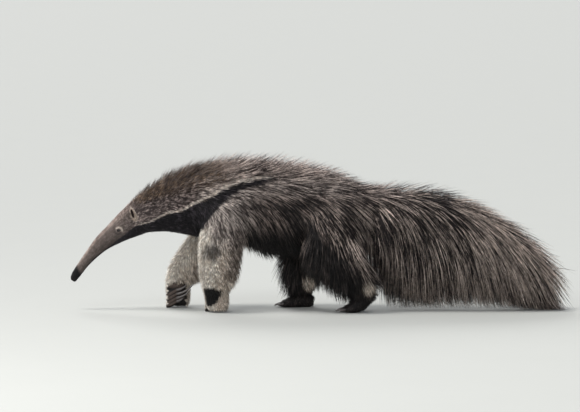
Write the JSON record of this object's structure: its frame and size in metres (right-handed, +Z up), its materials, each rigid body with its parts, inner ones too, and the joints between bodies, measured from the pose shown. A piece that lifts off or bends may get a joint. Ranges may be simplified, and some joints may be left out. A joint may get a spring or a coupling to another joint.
{
  "type": "giant anteater",
  "caption": "Giant anteater walking with its head low, long tubular snout, shaggy coat and a large bushy tail that hangs to the ground.",
  "frame": {"origin": "on the floor, under the centre of the animal's box", "axes": "+X from the snout to the tail, +Y to the animal's right side, +Z up"},
  "size_m": [2.0078, 0.3615, 0.6264],
  "materials": {
    "coat_dark": "long, coarse, dark brown to black hair with pale streaks",
    "coat_pale": "short grizzled cream hair",
    "snout_skin": "very short grey-brown fur over skin, bare black tip",
    "claw_horn": "worn dark horn, satin",
    "eye_black": "wet, near black"
  },
  "bodies": {
    "root": {"claw_fore_left_1": "claw_horn", "claw_fore_left_2": "claw_horn", "claw_fore_left_3": "claw_horn", "claw_fore_left_4": "claw_horn", "claw_fore_right_1": "claw_horn", "claw_fore_right_2": "claw_horn", "claw_fore_right_3": "claw_horn", "claw_fore_right_4": "claw_horn", "claw_hind_left_1": "claw_horn", "claw_hind_left_2": "claw_horn", "claw_hind_left_3": "claw_horn", "claw_hind_left_4": "claw_horn", "claw_hind_left_5": "claw_horn", "claw_hind_right_1": "claw_horn", "claw_hind_right_2": "claw_horn", "claw_hind_right_3": "claw_horn", "claw_hind_right_4": "claw_horn", "claw_hind_right_5": "claw_horn", "ear_left": "coat_pale", "ear_right": "coat_pale", "eye_left": "eye_black", "eye_right": "eye_black", "fore_leg_left": "coat_pale", "fore_leg_right": "coat_pale", "forefoot_left": "coat_pale", "forefoot_right": "coat_pale", "head": "coat_dark", "hind_leg_left": "coat_dark", "hind_leg_right": "coat_dark", "hindfoot_left": "coat_dark", "hindfoot_right": "coat_dark", "neck": "coat_dark", "snout": "snout_skin", "tail": "coat_dark", "torso": "coat_dark"}
  },
  "joints": []
}
